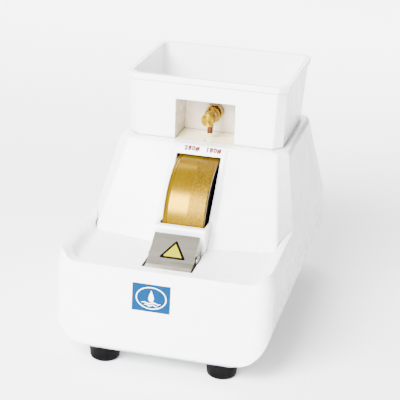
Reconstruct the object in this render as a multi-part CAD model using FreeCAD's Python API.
"""Wet lens edger: a bench grinder with a water tank over a diamond wheel.

Millimetres, +Z up, front towards -Y, right towards +X.
Origin: middle of the footprint, on the surface that the feet stand on.
"""
import FreeCAD, Part
import math
import os

# ---- housing -------------------------------------------------------------
HALF_W = 88.0          # widest half-width of the housing
HALF_D = 142.5         # half of the housing's depth
BASE_Z = 14.5          # underside of the housing
SIDE_BEND_Z = 81.0     # the side walls start to lean in here
REAR_BEND_Z = 60.0     # the rear wall starts to lean in here
DECK_Z = 155.0         # deck that the tank stands on
DECK_HALF_W = 73.0
DECK_REAR_Y = 105.0
RIM_Z = 95.5           # top of the tray's rim at the sides
RIM_FRONT_Z = 87.0     # and at the front
RIM_DIP_X = (73.0, 81.5)
RIM_DIP_R = 12.0
WALL = 3.2
SIDE_BOTTOM_R = 34.0
REAR_BOTTOM_R = 24.0
FRONT_BOTTOM_R = 6.0
FRONT_CORNER_R = 14.0
REAR_CORNER_R = 17.0

# fascia: points at its foot (FOOT_Z) and at the deck
FOOT_Z = 86.0
FOOT_MID_Y = -80.0
FOOT_EDGE = (77.0, -67.0)
TOP_MID_Y = -24.5
TOP_EDGE = (63.8, -20.0)
FOOT_CHAMFER = (84.0, -48.0)
TOP_CHAMFER = (73.0, -11.0)

# tray
FLOOR_FRONT_Z = 83.0
FLOOR_SLOPE = 0.036
POCKET_HALF_W = 78.8
POCKET_FRONT_Y = -138.0
TRAY_R = 5.0
EDGE_R = 3.2

# slot in the fascia, the sill below it and the hole in the tray's floor
SLOT_HALF_W = 19.0
SLOT_TOP = (-29.9, 148.4)
SLOT_LEAN = 0.7987     # how far the pillar's face moves forward per mm down
SILL_HALF_W = 21.5
SILL_FRONT_Y = -86.0
SILL_BACK_Y = -80.3
SILL_TOP_Z = 104.0
HOLE_HALF_W = 20.8
HOLE_Y = (-125.3, -86.6)

# ---- wheel and spindle ------------------------------------------------------
WHEEL_Y = -26.0
WHEEL_Z = 94.0
WHEEL_R = 52.5
WHEEL_HALF_W = 17.5
BEVEL_X = -13.6
GRIT_X = 2.6           # the fine band ends and the coarse band starts
BAND = 3.5             # thickness of the diamond bands
SPINDLE_R = 6.0
RUN = 0.04             # radial clearance of a running fit

# ---- motor and belt ---------------------------------------------------------
MOTOR_Y = 84.0
MOTOR_Z = 66.0
MOTOR_R = 44.0
MOTOR_X = (-30.0, 46.0)
BELL = 8.0
SHAFT_R = 5.0
BELT_X = (63.6, 72.4)
PULLEY_X = (62.0, 74.0)
MOTOR_PULLEY_R = 17.0
SPINDLE_PULLEY_R = 21.0
BELT_THICK = 2.6
GAP = 0.3

# ---- base plate and feet ------------------------------------------------------
PLATE_Z = (13.0, 14.5)
PLATE_HALF_W = 63.5
PLATE_Y = (-137.0, 117.0)
OPENING_HALF_W = 53.5
OPENING_Y = (-131.0, 112.0)
FOOT_X = 48.6
FOOT_Y = (-124.4, 102.0)
FOOT_R = 13.2

# ---- tank and tap -------------------------------------------------------------
TANK_Z = (155.0, 210.0)
TANK_BOTTOM = (67.5, -13.7, 95.0)    # half-width, front y, rear y
TANK_TOP = (69.5, -18.8, 104.0)
TANK_CHAMFER = 7.4
TANK_WALL = 2.5
RIM_BAND = 5.0
RECESS_HALF_W = 25.7
RECESS_TOP_Z = 190.7
RECESS_BACK_Y = 20.0
TAP_X = 1.8
TAP_Z = 173.6
DRIP_Y = -8.0

# ---- cover, sponge and their bracket --------------------------------------------
COVER_TOP = (-93.2, 101.0)
COVER_CREASE = (-118.5, 83.8)
COVER_LIP = (-124.4, 83.2)
COVER_HALF_W = 18.7
SHEET = 1.2
PIVOT_Y = -103.0
PIVOT_Z = 85.0
PIN_R = 1.5

# ---- splash box -----------------------------------------------------------------
BOX_HALF_W = 25.0
BOX_WALL = 2.0

# ---- capacitor, switch and mains inlet --------------------------------------------
CAP_X = -41.0
CAP_Z = 32.0
CAP_R = 13.0
SWITCH_Y = -90.0
SWITCH_Z = 53.0
SWITCH_FACE_X = -84.6
INLET_X = -58.0
INLET_Z = 50.0
INLET_FACE_Y = 140.0


# ---- helpers ------------------------------------------------------------------
def vec(x, y, z):
    return FreeCAD.Vector(x, y, z)


def box(x0, x1, y0, y1, z0, z1):
    return Part.makeBox(x1 - x0, y1 - y0, z1 - z0, vec(x0, y0, z0))


def rod_x(x0, x1, y, z, r):
    return Part.makeCylinder(r, x1 - x0, vec(x0, y, z), vec(1, 0, 0))


def rod_y(y0, y1, x, z, r):
    return Part.makeCylinder(r, y1 - y0, vec(x, y0, z), vec(0, 1, 0))


def rod_z(z0, z1, x, y, r):
    return Part.makeCylinder(r, z1 - z0, vec(x, y, z0), vec(0, 0, 1))


def ring_x(x0, x1, y, z, r_in, r_out):
    return rod_x(x0, x1, y, z, r_out).cut(rod_x(x0 - 1, x1 + 1, y, z, r_in))


def ring_z(z0, z1, x, y, r_in, r_out):
    return rod_z(z0, z1, x, y, r_out).cut(rod_z(z0 - 1, z1 + 1, x, y, r_in))


def group(shapes):
    return Part.makeCompound(list(shapes))


def fuse(first, *others):
    return first.multiFuse(list(others)).removeSplitter()


def rounded_wire(points, radii, place):
    """Closed outline through points, each corner rounded by its radius; place maps 2-D to 3-D."""
    flat = [FreeCAD.Vector(a, b, 0) for a, b in points]
    corners = []
    for i, p in enumerate(flat):
        if not radii[i]:
            corners.append((p, None, p))
            continue
        to_last = (flat[i - 1] - p).normalize()
        to_next = (flat[(i + 1) % len(flat)] - p).normalize()
        half = to_last.getAngle(to_next) / 2
        bisector = (to_last + to_next).normalize()
        reach = radii[i] / math.tan(half)
        middle = p + bisector * (radii[i] / math.sin(half) - radii[i])
        corners.append((p + to_last * reach, middle, p + to_next * reach))
    edges = []
    for i, (start, middle, end) in enumerate(corners):
        if middle is not None:
            arc = Part.Arc(place(start), place(middle), place(end))
            edges.append(arc.toShape())
        following = corners[(i + 1) % len(corners)][0]
        if (following - end).Length > 1e-6:
            edges.append(Part.LineSegment(place(end), place(following)).toShape())
    return Part.Wire(edges)


def slab(points, radii, place, direction):
    return Part.Face(rounded_wire(points, radii, place)).extrude(direction)


def prism_x(points, x0, x1, radii=None):
    """Outline given as (y, z), extruded along X."""
    return slab(points, radii or [0] * len(points), lambda p: vec(x0, p.x, p.y), vec(x1 - x0, 0, 0))


def prism_y(points, y0, y1, radii=None):
    """Outline given as (x, z), extruded along Y."""
    return slab(points, radii or [0] * len(points), lambda p: vec(p.x, y0, p.y), vec(0, y1 - y0, 0))


def prism_z(points, z0, z1, radii=None):
    """Outline given as (x, y), extruded along Z."""
    return slab(points, radii or [0] * len(points), lambda p: vec(p.x, p.y, z0), vec(0, 0, z1 - z0))


def rectangle(half_w, y0, y1):
    return [(-half_w, y0), (half_w, y0), (half_w, y1), (-half_w, y1)]


def loft_z(sections):
    """Straight-sided solid through (points, radii, z) sections."""
    wires = [rounded_wire(pts, radii, lambda p, z=z: vec(p.x, p.y, z)) for pts, radii, z in sections]
    return Part.makeLoft(wires, True, True)


def hexagon(across_flats):
    r = across_flats / math.sqrt(3)
    return [(r * math.cos(math.radians(a)), r * math.sin(math.radians(a))) for a in range(0, 360, 60)]


def save(name, shape):
    shape.exportStep(os.path.join("parts", name + ".step"))


# ---- housing --------------------------------------------------------------------
def wall_x(z):
    """Half-width of the leaning side wall at height z."""
    return HALF_W - (z - SIDE_BEND_Z) * (HALF_W - DECK_HALF_W) / (DECK_Z - SIDE_BEND_Z)


def wall_y(z):
    """Rear wall at height z."""
    return HALF_D - (z - REAR_BEND_Z) * (HALF_D - DECK_REAR_Y) / (DECK_Z - REAR_BEND_Z)


def corner_loft(inset):
    """Plan corners of the housing, a hair outside its flat walls."""
    ease = 0.1
    radii = [FRONT_CORNER_R - inset] * 2 + [REAR_CORNER_R - inset] * 2
    out = ease - inset
    sections = []
    for z in (0, REAR_BEND_Z, SIDE_BEND_Z, DECK_Z + 5):
        half_w = wall_x(max(z, SIDE_BEND_Z)) + out
        rear = wall_y(max(z, REAR_BEND_Z)) + out
        sections.append((rectangle(half_w, -HALF_D - out, rear), radii, z))
    return loft_z(sections)


def body_block(inset):
    """The housing as a full-height block, with every wall moved in by inset."""
    w, top, base = HALF_W - inset, DECK_Z - inset, BASE_Z + inset
    deck_w, deck_y, d = DECK_HALF_W - inset, DECK_REAR_Y - inset, HALF_D - inset
    bottom_r = SIDE_BOTTOM_R - inset
    bend = SIDE_BEND_Z
    front_view = [(-w, base), (w, base), (w, bend), (deck_w, top), (-deck_w, top), (-w, bend)]
    front_radii = [bottom_r, bottom_r, 100, 5 - inset, 5 - inset, 100]
    side_view = [(-d, base), (d, base), (d, REAR_BEND_Z), (deck_y, top), (-d, top)]
    side_radii = [FRONT_BOTTOM_R - inset, REAR_BOTTOM_R - inset, 60, 6 - inset, 0]
    block = prism_y(front_view, -HALF_D - 5, HALF_D + 5, front_radii)
    block = block.common(prism_x(side_view, -HALF_W - 5, HALF_W + 5, side_radii))
    return block.common(corner_loft(inset))


def fascia_section(z, back):
    """Plan of everything behind the fascia at height z, moved back by the given amount."""
    t = (z - FOOT_Z) / (DECK_Z - FOOT_Z)

    def between(foot, top):
        return foot + (top - foot) * t

    mid = between(FOOT_MID_Y, TOP_MID_Y)
    edge = (between(FOOT_EDGE[0], TOP_EDGE[0]), between(FOOT_EDGE[1], TOP_EDGE[1]))
    side = (between(FOOT_CHAMFER[0], TOP_CHAMFER[0]), between(FOOT_CHAMFER[1], TOP_CHAMFER[1]))
    far = (edge[0] + 3 * (side[0] - edge[0]), edge[1] + 3 * (side[1] - edge[1]))
    right = [edge, far, (130, 20), (130, HALF_D + 20)]
    left = [(-x, y) for x, y in reversed(right)]
    return [(x, y + back) for x, y in [(0, mid)] + right + left]


def behind_fascia(back):
    levels = (FOOT_Z - 46, DECK_Z + 20)
    return loft_z([(fascia_section(z, back), [0] * 9, z) for z in levels])


def floor_z(y):
    return FLOOR_FRONT_Z + (y + 137.0) * FLOOR_SLOPE


def above_floor(drop):
    """Everything over the tray's sloping floor, lowered by drop."""
    y0, y1, z_top = -HALF_D - 10, 20, 220
    points = [(y0, floor_z(y0) - drop), (y1, floor_z(y1) - drop), (y1, z_top), (y0, z_top)]
    return prism_x(points, -HALF_W - 10, HALF_W + 10)


def tray_pocket():
    """Hollow of the tray, with a rounded edge round its floor."""
    radii = [16, 16, 0, 0]
    low = rectangle(POCKET_HALF_W - 3.5, POCKET_FRONT_Y + 1.5, 0)
    high = rectangle(POCKET_HALF_W, POCKET_FRONT_Y, 0)
    pocket = loft_z([(low, radii, 75), (high, radii, RIM_Z + 0.5)]).common(above_floor(0))
    floor_edges = [e for e in pocket.Edges if e.BoundBox.YMin < -50 and on_floor(e)]
    return pocket.makeFillet(TRAY_R, floor_edges)


def on_floor(edge):
    return all(abs(v.Z - floor_z(v.Y)) < 0.01 for v in edge.Vertexes)


def above_rim():
    """Everything over the tray's rim, which dips in a smooth curve along the front."""
    x_in, x_out = RIM_DIP_X
    far = HALF_W + 10
    half = [(x_in, RIM_FRONT_Z), (x_out, RIM_Z), (far, RIM_Z), (far, DECK_Z + 10)]
    points = half + [(-x, z) for x, z in reversed(half)]
    radii = [RIM_DIP_R, RIM_DIP_R, 0, 0, 0, 0, RIM_DIP_R, RIM_DIP_R]
    return prism_y(points, -HALF_D - 10, 20, radii)


def soften(block):
    """Round the corners of the fascia and the deck's front edge."""
    chosen = []
    for edge in block.Edges:
        b = edge.BoundBox
        widest = max(abs(b.XMin), abs(b.XMax))
        deck = b.ZMax - b.ZMin < 0.1 and b.ZMin > DECK_Z - 0.1 and b.YMax < -10
        corner = b.ZMax > DECK_Z - 7 and b.ZMin < RIM_Z + 1 and b.YMax < -5 and widest > 65
        if deck or corner:
            chosen.append(edge)
    return block.makeFillet(EDGE_R, chosen)


def pillar_face_y(z):
    return SLOT_TOP[0] - (SLOT_TOP[1] - z) * SLOT_LEAN


def pillar():
    """Raised surround of the slot, with slanted flanks, from the tray's floor to the deck."""
    top, low = DECK_Z - 1.5, 80.0
    plan = [(-21.5, 0), (21.5, 0), (28.0, 6.0), (-28.0, 6.0)]
    run = vec(0, pillar_face_y(low) - pillar_face_y(top), low - top)
    return slab(plan, [1.5, 1.5, 0, 0], lambda p: vec(p.x, p.y + pillar_face_y(top), top), run)


def sill():
    """Cross-piece under the slot, in front of the wheel."""
    block = box(-SILL_HALF_W, SILL_HALF_W, SILL_FRONT_Y, -60, 80, SILL_TOP_Z)
    front = [e for e in block.Edges if e.CenterOfMass.y < SILL_FRONT_Y + 0.01 and e.CenterOfMass.z > 81]
    return block.makeFillet(2.5, front)


def slot_cut():
    inside = box(-SLOT_HALF_W, SLOT_HALF_W, SILL_BACK_Y, 20, 70, SLOT_TOP[1])
    outside = box(-SLOT_HALF_W, SLOT_HALF_W, -120, 0, SILL_TOP_Z, SLOT_TOP[1])
    return inside.fuse(outside)


def rear_vents():
    slots = []
    for i in range(5):
        z = 82 + 7 * i
        slots.append(box(-30, 30, wall_y(z) - 8, wall_y(z) + 8, z, z + 3))
    return slots


def housing_shell():
    outer = soften(body_block(0).cut(above_rim().fuse(tray_pocket()).cut(behind_fascia(0))))
    inner = body_block(WALL).cut(above_floor(3.0).cut(behind_fascia(WALL * 1.25)))
    shell = outer.cut(inner)
    pads = [
        box(INLET_X - 18, INLET_X + 18, 135, HALF_D, 34, 64),
        box(-HALF_W, -80, SWITCH_Y - 15, SWITCH_Y + 15, 41, 65),
    ]
    bosses = [rod_z(BASE_Z, 28, x, y, 5) for x, y in shell_screw_places()]
    ribs = [b.common(body_block(0)) for b in pads] + bosses
    shell = shell.multiFuse([pillar(), sill()] + ribs)
    cuts = [
        slot_cut(),
        box(-HOLE_HALF_W, HOLE_HALF_W, HOLE_Y[0], HOLE_Y[1], 70, 100),
        rod_z(DECK_Z - 10, DECK_Z + 1, TAP_X, DRIP_Y, 3),
        box(-OPENING_HALF_W, OPENING_HALF_W, OPENING_Y[0], OPENING_Y[1], 5, BASE_Z + WALL),
        box(INLET_X - 16, INLET_X + 16, INLET_FACE_Y, HALF_D + 5, INLET_Z - 12, INLET_Z + 12),
        box(INLET_X - 14, INLET_X + 14, 130, HALF_D, INLET_Z - 10.2, INLET_Z + 10.2),
        box(-HALF_W - 5, SWITCH_FACE_X, SWITCH_Y - 11, SWITCH_Y + 11, SWITCH_Z - 8, SWITCH_Z + 8),
        box(-HALF_W, -75, SWITCH_Y - 9.8, SWITCH_Y + 9.8, SWITCH_Z - 6.8, SWITCH_Z + 6.8),
        label_block(),
    ]
    cuts += [rod_z(5, 24, x, y, 1.6) for x, y in shell_screw_places()]
    return shell.cut(Part.makeCompound(cuts + rear_vents()))


def shell_screw_places():
    return [(x, y) for x in (-58.5, 58.5) for y in (-70, 50)]


def label_block():
    return box(-22.6, 8.4, -HALF_D, -HALF_D + 0.3, 53.2, 76.7)


# ---- base plate, feet and their fasteners ------------------------------------------
def foot_places():
    return [(x, y) for x in (-FOOT_X, FOOT_X) for y in FOOT_Y]


def base_plate():
    plate = prism_z(rectangle(PLATE_HALF_W, PLATE_Y[0], PLATE_Y[1]), PLATE_Z[0], PLATE_Z[1], [8] * 4)
    holes = [rod_z(5, 20, x, y, 2.6) for x, y in foot_places()]
    holes += [rod_z(5, 20, x, y, 1.8) for x, y in shell_screw_places()]
    holes += [rod_z(5, 20, x, y, 2.5) for x, y in pedestal_screw_places()]
    holes.append(rod_z(5, 20, 0, WHEEL_Y, 5.6))
    holes += [box(-50, -20, y, y + 3, 5, 20) for y in (-40, -32, -24, -16)]
    return plate.cut(Part.makeCompound(holes))


def rubber_foot(x, y):
    """Round foot with a rounded sole and a deep counterbore for its screw."""
    sole = 4.0
    profile = [(0, 0), (FOOT_R - 1.5, 0), (FOOT_R, PLATE_Z[0]), (0, PLATE_Z[0])]
    wire = rounded_wire(profile, [0, 2.5, 0, 0], lambda p: vec(p.x, 0, p.y))
    foot = Part.Face(wire).revolve(vec(0, 0, 0), vec(0, 0, 1), 360)
    foot.translate(vec(x, y, 0))
    return foot.cut(rod_z(-1, sole, x, y, 5.5)).cut(rod_z(-1, 20, x, y, 2.6))


def foot_screw(x, y):
    return rod_z(0.8, 4.0, x, y, 4.4).fuse(rod_z(4.0, PLATE_Z[1] + 6, x, y, 2.5))


def foot_nut(x, y):
    nut = prism_z(hexagon(8), PLATE_Z[1], PLATE_Z[1] + 4)
    nut.translate(vec(x, y, 0))
    return nut.cut(rod_z(5, 20, x, y, 2.5))


def shell_screw(x, y):
    return rod_z(PLATE_Z[0] - 1.6, PLATE_Z[0], x, y, 3.2).fuse(rod_z(PLATE_Z[0], 22, x, y, 1.6))


# ---- wheel and spindle -----------------------------------------------------------------
def wheel_ring(x0, x1, r_in, r_out):
    return ring_x(x0, x1, WHEEL_Y, WHEEL_Z, r_in, r_out)


def wheel_core():
    core = wheel_ring(-WHEEL_HALF_W, WHEEL_HALF_W, SPINDLE_R, WHEEL_R - BAND)
    left = rod_x(-WHEEL_HALF_W, -6, WHEEL_Y, WHEEL_Z, 41)
    right = wheel_ring(8, WHEEL_HALF_W, 20, 41)
    return core.cut(left).cut(right)


def bevel_ring():
    """Narrow band with a shallow V-groove for cutting the bevel."""
    r_in = WHEEL_R - BAND
    middle = (-WHEEL_HALF_W + BEVEL_X) / 2
    points = [
        (-WHEEL_HALF_W, r_in), (BEVEL_X, r_in), (BEVEL_X, WHEEL_R - 0.5), (BEVEL_X - 0.4, WHEEL_R - 0.1),
        (middle, WHEEL_R - 0.7), (-WHEEL_HALF_W + 0.8, WHEEL_R - 0.1), (-WHEEL_HALF_W, WHEEL_R - 0.9),
    ]
    wire = rounded_wire(points, [0] * 7, lambda p: vec(p.x, WHEEL_Y, WHEEL_Z + p.y))
    return Part.Face(wire).revolve(vec(0, WHEEL_Y, WHEEL_Z), vec(1, 0, 0), 360)


def coarse_ring():
    ring = wheel_ring(GRIT_X, WHEEL_HALF_W, WHEEL_R - BAND, WHEEL_R)
    end_edges = [e for e in ring.Edges if abs(e.BoundBox.XMin - WHEEL_HALF_W) < 0.01]
    rim = [e for e in end_edges if e.BoundBox.ZMax > WHEEL_Z + WHEEL_R - 1]
    return ring.makeChamfer(0.7, rim)


def spindle():
    shaft = rod_x(-18.6, PULLEY_X[1] + 1, WHEEL_Y, WHEEL_Z, SPINDLE_R)
    return shaft.fuse(rod_x(36.4, 47.6, WHEEL_Y, WHEEL_Z, SPINDLE_R + 1.2)).removeSplitter()


def wheel_nut():
    nut = prism_x(hexagon(17), -17, -10)
    nut.translate(vec(0, WHEEL_Y, WHEEL_Z))
    return nut.cut(rod_x(-20, 0, WHEEL_Y, WHEEL_Z, SPINDLE_R))


def bearing_places():
    return [(28.0, 36.0), (48.0, 56.0)]


def bearing_balls():
    balls = []
    for x0, x1 in bearing_places():
        for i in range(9):
            a = math.radians(40 * i)
            centre = vec((x0 + x1) / 2, WHEEL_Y + 10.2 * math.cos(a), WHEEL_Z + 10.2 * math.sin(a))
            balls.append(Part.makeSphere(1.4, centre))
    return group(balls)


def spindle_pedestal():
    """Cast pedestal that carries both bearings."""
    foot = box(26, 53, -52, 0, PLATE_Z[1], 21)
    web = prism_x([(-42, 20), (-10, 20), (-12, WHEEL_Z), (-40, WHEEL_Z)], 32, 52)
    head = rod_x(26, 58, WHEEL_Y, WHEEL_Z, 20)
    bore = rod_x(27.6, 59, WHEEL_Y, WHEEL_Z, 14)
    through = rod_x(20, 60, WHEEL_Y, WHEEL_Z, 8.5)
    holes = [rod_z(10, 30, x, y, 2.6) for x, y in pedestal_screw_places()]
    lighten = rod_x(30, 54, WHEEL_Y, 48, 12)
    return fuse(foot, web, head).cut(Part.makeCompound([bore, through, lighten] + holes))


def pedestal_screw_places():
    return [(29.5, -48), (29.5, -4), (50, -48), (50, -4)]


def cap_screw(x, y, z):
    head = rod_z(z, z + 5, x, y, 4.0).cut(rod_z(z + 2.5, z + 6, x, y, 2.1))
    return head.fuse(rod_z(PLATE_Z[1] - 1.5, z, x, y, 2.5))


def pulley(y, z, r, bore):
    body = rod_x(PULLEY_X[0], PULLEY_X[1], y, z, r)
    flanges = [rod_x(a, a + 1.2, y, z, r + 2.4) for a in (PULLEY_X[0], PULLEY_X[1] - 1.2)]
    hub = rod_x(PULLEY_X[0] - 3, PULLEY_X[0], y, z, bore + 4)
    return fuse(body, hub, *flanges).cut(rod_x(50, 80, y, z, bore))


# ---- belt -----------------------------------------------------------------------------
def belt_outline(grow):
    """Open-belt loop round both pulleys, as a wire at the belt's inner edge."""
    r1 = SPINDLE_PULLEY_R + GAP + grow
    r2 = MOTOR_PULLEY_R + GAP + grow
    dy, dz = MOTOR_Y - WHEEL_Y, MOTOR_Z - WHEEL_Z
    span = math.hypot(dy, dz)
    along = math.atan2(dz, dy)
    lean = math.acos((r1 - r2) / span)

    def at(cy, cz, r, a):
        return vec(BELT_X[0], cy + r * math.cos(a), cz + r * math.sin(a))

    up, down, back = along + lean, along - lean, along + math.pi
    big = Part.Arc(*[at(WHEEL_Y, WHEEL_Z, r1, a) for a in (up, back, down)])
    small = Part.Arc(*[at(MOTOR_Y, MOTOR_Z, r2, a) for a in (down, along, up)])
    low = Part.LineSegment(big.EndPoint, small.StartPoint)
    high = Part.LineSegment(small.EndPoint, big.StartPoint)
    return Part.Wire([s.toShape() for s in (big, low, small, high)])


def drive_belt():
    along = vec(BELT_X[1] - BELT_X[0], 0, 0)
    outside = Part.Face(belt_outline(BELT_THICK)).extrude(along)
    return outside.cut(Part.Face(belt_outline(0)).extrude(along))


# ---- motor ------------------------------------------------------------------------------
def motor_ring(x0, x1, r_in, r_out):
    return ring_x(x0, x1, MOTOR_Y, MOTOR_Z, r_in, r_out)


def end_bell(x_in, x_out):
    """End cover with vents round its bearing hub; x_in is the face on the frame."""
    x0, x1 = min(x_in, x_out), max(x_in, x_out)
    disc = motor_ring(x0, x1, 11.0, MOTOR_R)
    vents = []
    for i in range(6):
        a = math.radians(60 * i)
        y, z = MOTOR_Y + 28 * math.cos(a), MOTOR_Z + 28 * math.sin(a)
        vents.append(rod_x(x0 - 1, x1 + 1, y, z, 6))
    return disc.cut(Part.makeCompound(vents))


def motor_cradle(x):
    block = box(x - 5, x + 5, 58, 110, PLATE_Z[1], 46)
    return block.cut(rod_x(x - 6, x + 6, MOTOR_Y, MOTOR_Z, MOTOR_R))


def motor_strap(x):
    band = ring_x(x - 5, x + 5, MOTOR_Y, MOTOR_Z, MOTOR_R, MOTOR_R + 1)
    return band.cut(box(x - 6, x + 6, 20, 150, 0, 46))


# ---- splash box and drain ------------------------------------------------------------------
def splash_box():
    outline = [(-129, 79.4), (-129, 58), (-92, 36), (WHEEL_Y, 30), (31, 38),
               (31, 150.8), (-17.5, 150.8), (-70.5, 84.5), (-70.5, 79.4)]
    hollow = [(-127, 200), (-127, 59.1), (-91.3, 38), (WHEEL_Y, 32.1), (29, 39.8),
              (29, 148.8), (-40, 148.8), (-60, 200)]
    inner_w = BOX_HALF_W - BOX_WALL
    case = prism_x(outline, -BOX_HALF_W, BOX_HALF_W).cut(prism_x(hollow, -inner_w, inner_w))
    cuts = [
        rod_x(20, 30, WHEEL_Y, WHEEL_Z, 9),
        rod_z(20, 40, 0, WHEEL_Y, 5),
        rod_z(32.4, 40, 0, WHEEL_Y, 8.1),
        rod_z(140, 155, TAP_X, DRIP_Y, 4),
    ]
    return case.cut(Part.makeCompound(cuts))


def shaft_seal():
    lip = wheel_ring(21.6, 23, SPINDLE_R + GAP, 12)
    sleeve = wheel_ring(23, 25, SPINDLE_R + GAP, 9)
    return fuse(lip, sleeve)


def drain_elbow():
    """Outlet under the base plate that takes a hose, up to a collar."""
    z, y_collar, y_end = 5.9, -20.0, 8.0
    flange = rod_z(32.4, 33.6, 0, WHEEL_Y, 8)
    down = rod_z(z, 33, 0, WHEEL_Y, 4.9)
    ball = Part.makeSphere(4.9, vec(0, WHEEL_Y, z))
    collar = rod_y(WHEEL_Y, y_collar, 0, z, 5.7)
    spigot = rod_y(WHEEL_Y, y_end, 0, z, 4.5)
    bores = [rod_z(z, 40, 0, WHEEL_Y, 3.4), rod_y(WHEEL_Y, y_end + 1, 0, z, 3.2)]
    return fuse(flange, down, ball, collar, spigot).cut(Part.makeCompound(bores))


# ---- cover and sponge -----------------------------------------------------------------------
def splash_cover():
    """Bent sheet: sloping panel, front lip and two cheeks."""
    outer = [COVER_TOP, COVER_CREASE, COVER_LIP]
    under_lip = (COVER_LIP[0], COVER_LIP[1] - SHEET)
    under_crease = (COVER_CREASE[0] + 0.3, COVER_CREASE[1] - SHEET)
    under_top = (COVER_TOP[0] + 0.9, COVER_TOP[1] - 0.8)
    panel = prism_x(outer + [under_lip, under_crease, under_top], -COVER_HALF_W, COVER_HALF_W)
    side = [under_top, (COVER_CREASE[0], COVER_CREASE[1] - 0.6), (-112, 79), (-92.3, 80)]
    cheeks = []
    for sign in (-1, 1):
        x0 = sign * COVER_HALF_W
        cheek = prism_x(side, min(x0, x0 - sign * SHEET), max(x0, x0 - sign * SHEET))
        cheeks.append(cheek.cut(rod_x(-30, 30, PIVOT_Y, PIVOT_Z, PIN_R)))
    return fuse(panel, *cheeks)


def cover_pin(sign):
    x = sign * (COVER_HALF_W - SHEET)
    tip = sign * 20.5
    pin = rod_x(min(x, tip), max(x, tip), PIVOT_Y, PIVOT_Z, PIN_R)
    inner = x - sign * 1.2
    return fuse(pin, rod_x(min(x, inner), max(x, inner), PIVOT_Y, PIVOT_Z, 2.6))


def cover_bracket():
    """Channel that carries the cover's pins and the sponge."""
    base = box(-23, 23, -109, -92, 58.6, 60)
    ears = []
    for sign in (-1, 1):
        x0, x1 = sorted((sign * 19.3, sign * 20.3))
        ears.append(prism_x([(-108, 59), (-98, 59), (-98, 88.5), (-108, 88.5)], x0, x1, [0, 0, 4, 4]))
    channel = fuse(base, *ears)
    return channel.cut(rod_x(-30, 30, PIVOT_Y, PIVOT_Z, PIN_R + RUN))


def sponge():
    block = box(-16, 16, -107, -76, 60.3, 78)
    return block.cut(rod_x(-20, 20, WHEEL_Y, WHEEL_Z, WHEEL_R + 0.8))


# ---- tank -----------------------------------------------------------------------------------
def tank_plan(size, out):
    half_w, front, rear = size
    w, f, r, c = half_w + out, front - out, rear + out, TANK_CHAMFER
    return [(-w + c, f), (w - c, f), (w, f + c), (w, r), (-w, r), (-w, f + c)]


def tank_loft(out, z0, z1, radii):
    """Drafted block between two levels, with its walls moved out by out."""
    sections = []
    for z in (z0, z1):
        t = (z - TANK_Z[0]) / (TANK_Z[1] - TANK_Z[0])
        size = [a + (b - a) * t for a, b in zip(TANK_BOTTOM, TANK_TOP)]
        sections.append((tank_plan(size, out), radii, z))
    return loft_z(sections)


def tank():
    radii = [1.5, 1.5, 1.5, 8, 8, 1.5]
    body = tank_loft(-1.5, TANK_Z[0], TANK_Z[1] - RIM_BAND + 0.5, radii)
    band = tank_loft(0, TANK_Z[1] - RIM_BAND, TANK_Z[1], radii)
    outer = body.fuse(band)
    hollow = tank_loft(-1.5 - TANK_WALL, TANK_Z[0] + 3.5, TANK_Z[1] + 1, [1, 1, 1, 6, 6, 1])

    def recess_block(wall):
        half_w = RECESS_HALF_W + wall
        return box(-half_w, half_w, -60, RECESS_BACK_Y + wall, 100, RECESS_TOP_Z + wall)

    tap_hole = rod_y(RECESS_BACK_Y - 5, RECESS_BACK_Y + 10, TAP_X, TAP_Z, 4)
    return outer.cut(hollow.cut(recess_block(TANK_WALL))).cut(recess_block(0)).cut(tap_hole)


# ---- tap ------------------------------------------------------------------------------------
def tap_hex(across_flats, y0, y1):
    nut = prism_y(hexagon(across_flats), y0, y1)
    nut.translate(vec(TAP_X, 0, TAP_Z))
    return nut


def tap_body():
    """Hexagon, stepped barrel, threaded tail through the tank's wall and a boss for the spout."""
    tail = rod_y(14, RECESS_BACK_Y + 12, TAP_X, TAP_Z, 3.9)
    barrel = rod_y(-3, 12, TAP_X, TAP_Z, 5.2)
    collar = rod_y(5, 8, TAP_X, TAP_Z, 6.2)
    boss = rod_z(TAP_Z - 8, TAP_Z, TAP_X, DRIP_Y + 8, 2.8)
    body = fuse(tap_hex(14, 11.5, 18.4), tail, barrel, collar, boss)
    bores = [rod_y(-5, 10, TAP_X, TAP_Z, 2.2), rod_y(9, 40, TAP_X, TAP_Z, 1.6),
             rod_z(TAP_Z - 10, TAP_Z, TAP_X, DRIP_Y + 8, 1.6)]
    return body.cut(Part.makeCompound(bores))


def tap_washer(y0, y1):
    return rod_y(y0, y1, TAP_X, TAP_Z, 7).cut(rod_y(y0 - 1, y1 + 1, TAP_X, TAP_Z, 4))


def tap_knob():
    """Knurled knob and needle stem in one."""
    knob = rod_y(-12, -3.6, TAP_X, TAP_Z, 5.6)
    flutes = []
    for i in range(18):
        a = math.radians(20 * i)
        flutes.append(rod_y(-13, -3, TAP_X + 5.9 * math.cos(a), TAP_Z + 5.9 * math.sin(a), 0.6))
    stem = rod_y(-4, 8, TAP_X, TAP_Z, 2.2 - RUN)
    tip = Part.makeCone(2.2 - RUN, 0.8, 1.5, vec(TAP_X, 8, TAP_Z), vec(0, 1, 0))
    return fuse(knob.cut(Part.makeCompound(flutes)), stem, tip)


def tap_spout():
    return ring_z(159.5, TAP_Z - 8, TAP_X, DRIP_Y + 8, 1.5, 2.4)


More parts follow.
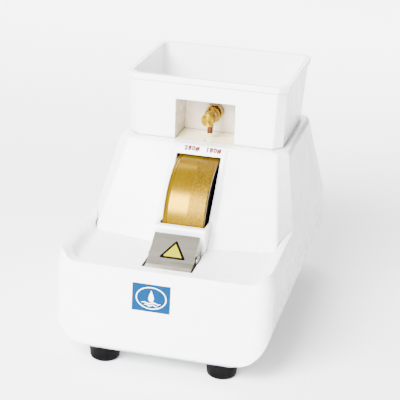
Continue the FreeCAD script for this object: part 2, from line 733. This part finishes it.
# ---- switch ---------------------------------------------------------------------------------
def switch_body():
    y, z = SWITCH_Y, SWITCH_Z
    bezel = box(SWITCH_FACE_X - 1.6, SWITCH_FACE_X, y - 10.6, y + 10.6, z - 7.6, z + 7.6)
    case = box(SWITCH_FACE_X, SWITCH_FACE_X + 16, y - 9.5, y + 9.5, z - 6.5, z + 6.5)
    well = box(SWITCH_FACE_X - 5, SWITCH_FACE_X + 6, y - 8.8, y + 8.8, z - 5.6, z + 5.6)
    blade = box(SWITCH_FACE_X + 16, SWITCH_FACE_X + 22, y - 0.4, y + 0.4, z - 2.4, z + 2.4)
    blades = [blade.translated(vec(0, d, 0)) for d in (-5, 5)]
    return fuse(bezel, case, *blades).cut(well)


def switch_rocker():
    """Rocker with a shallow dip along its middle, resting with its rear end pressed in."""
    x, y, z = SWITCH_FACE_X, SWITCH_Y, SWITCH_Z
    face = [(x - 1.9, y - 8.2), (x - 1.3, y), (x - 1.9, y + 8.2)]
    back = [(x + 1.6, y + 7.6), (x + 3, y), (x + 1.6, y - 7.6)]
    rocker = prism_z(face + back, z - 5.2, z + 5.2, [0.6, 0, 0.6, 0, 0, 0])
    rocker.rotate(vec(x + 1, y, z), vec(0, 0, 1), -6)
    return rocker


# ---- mains inlet -----------------------------------------------------------------------------
def inlet_body():
    x, z, face = INLET_X, INLET_Z, INLET_FACE_Y
    flange = box(x - 15.4, x + 15.4, face, face + 2, z - 11.4, z + 11.4)
    case = box(x - 13.6, x + 13.6, face - 20, face, z - 9.9, z + 9.9)
    mouth = [(-12, -8), (12, -8), (12, 4), (7.5, 8), (-7.5, 8), (-12, 4)]
    socket = prism_y([(x + dx, z + dz) for dx, dz in mouth], face - 14, face + 3)
    pins = Part.makeCompound([inlet_pin(dx, dz) for dx, dz in inlet_pin_places()])
    return fuse(flange, case).cut(socket).cut(pins)


def inlet_pin_places():
    return [(-7, -2), (0, 2), (7, -2)]


def inlet_pin(dx, dz):
    x, z = INLET_X + dx, INLET_Z + dz
    return box(x - 1, x + 1, INLET_FACE_Y - 26, INLET_FACE_Y - 4.5, z - 2, z + 2)


# ---- electrical parts -------------------------------------------------------------------------
def capacitor():
    can = rod_y(-108, -50, CAP_X, CAP_Z, CAP_R)
    blades = [box(CAP_X + d - 0.4, CAP_X + d + 0.4, -50, -44, CAP_Z - 3, CAP_Z + 3) for d in (-4, 4)]
    return fuse(can, *blades)


def capacitor_clip():
    band = rod_y(-86, -74, CAP_X, CAP_Z, CAP_R + 0.8)
    foot = box(CAP_X - 5, CAP_X + 5, -86, -74, PLATE_Z[1], 20)
    return fuse(band, foot).cut(rod_y(-90, -70, CAP_X, CAP_Z, CAP_R))


def terminal_block():
    block = box(32, 46, -108, -74, PLATE_Z[1], 27)
    wells = [rod_z(18, 30, 39, -103 + 8 * i, 2.8) for i in range(4)]
    entries = [rod_x(25, 50, -103 + 8 * i, 17, 1.8) for i in range(4)]
    return block.cut(Part.makeCompound(wells + entries))


def terminal_screws():
    return group(rod_z(18, 25, 39, -103 + 8 * i, 2.6) for i in range(4))


# ---- assembly ----------------------------------------------------------------------------------
def housing_parts():
    return {
        "housing_shell": housing_shell(),
        "base_plate": base_plate(),
        "rubber_feet": group(rubber_foot(x, y) for x, y in foot_places()),
        "foot_screws": group(foot_screw(x, y) for x, y in foot_places()),
        "foot_nuts": group(foot_nut(x, y) for x, y in foot_places()),
        "shell_screws": group(shell_screw(x, y) for x, y in shell_screw_places()),
        "front_label": label_block(),
        "splash_box": splash_box(),
        "drain_elbow": drain_elbow(),
        "shaft_seal": shaft_seal(),
    }


def wheel_parts():
    r_in = WHEEL_R - BAND
    inner = group(wheel_ring(x0, x1, SPINDLE_R, 8.6) for x0, x1 in bearing_places())
    outer = group(wheel_ring(x0, x1, 11.8, 14) for x0, x1 in bearing_places())
    return {
        "wheel_core": wheel_core(),
        "bevel_ring": bevel_ring(),
        "fine_grinding_ring": wheel_ring(BEVEL_X, GRIT_X, r_in, WHEEL_R),
        "coarse_grinding_ring": coarse_ring(),
        "wheel_inner_flange": wheel_ring(WHEEL_HALF_W, 20.8, SPINDLE_R, 18),
        "wheel_outer_flange": wheel_ring(-10, -6, SPINDLE_R, 15),
        "wheel_nut": wheel_nut(),
        "spindle": spindle(),
        "spindle_bearing_inner_rings": inner,
        "spindle_bearing_outer_rings": outer,
        "spindle_bearing_balls": bearing_balls(),
        "spindle_pedestal": spindle_pedestal(),
        "pedestal_screws": group(cap_screw(x, y, 21) for x, y in pedestal_screw_places()),
        "spindle_pulley": pulley(WHEEL_Y, WHEEL_Z, SPINDLE_PULLEY_R, SPINDLE_R),
        "drive_belt": drive_belt(),
    }


def motor_parts():
    x0, x1 = MOTOR_X
    core = (x0 + 12, x1 - 12)
    windings = [motor_ring(x0 + 2, core[0], 27, 38), motor_ring(core[1], x1 - 2, 27, 38)]
    bearings = [motor_ring(x, x + 7, SHAFT_R + RUN, 11) for x in (x0 - 7.5, x1 + 0.5)]
    cradles = [x0 + 12, x1 - 12]
    return {
        "motor_frame": motor_ring(x0, x1, MOTOR_R - 3, MOTOR_R),
        "motor_stator": motor_ring(core[0], core[1], 25.2, MOTOR_R - 3),
        "motor_windings": group(windings),
        "motor_left_end_bell": end_bell(x0, x0 - BELL),
        "motor_right_end_bell": end_bell(x1, x1 + BELL),
        "motor_bearings": group(bearings),
        "motor_rotor": motor_ring(core[0], core[1], SHAFT_R, 24.6),
        "motor_shaft": rod_x(x0 - 7, PULLEY_X[1] + 1, MOTOR_Y, MOTOR_Z, SHAFT_R),
        "motor_pulley": pulley(MOTOR_Y, MOTOR_Z, MOTOR_PULLEY_R, SHAFT_R),
        "motor_cradles": group(motor_cradle(x) for x in cradles),
        "motor_straps": group(motor_strap(x) for x in cradles),
        "capacitor": capacitor(),
        "capacitor_clip": capacitor_clip(),
        "terminal_block": terminal_block(),
        "terminal_screws": terminal_screws(),
        "switch_body": switch_body(),
        "switch_rocker": switch_rocker(),
        "inlet_body": inlet_body(),
        "inlet_pins": group(inlet_pin(dx, dz) for dx, dz in inlet_pin_places()),
    }


def water_parts():
    return {
        "water_tank": tank(),
        "tap_body": tap_body(),
        "tap_washers": group([tap_washer(18.5, RECESS_BACK_Y), tap_washer(22.5, 24)]),
        "tap_locknut": tap_hex(13, 24, 28).cut(rod_y(20, 30, TAP_X, TAP_Z, 3.9)),
        "tap_knob": tap_knob(),
        "tap_spout": tap_spout(),
        "splash_cover": splash_cover(),
        "cover_pins": group(cover_pin(sign) for sign in (-1, 1)),
        "cover_bracket": cover_bracket(),
        "sponge": sponge(),
    }


os.makedirs("parts", exist_ok=True)
for parts in (housing_parts(), wheel_parts(), motor_parts(), water_parts()):
    for name, shape in parts.items():
        save(name, shape)
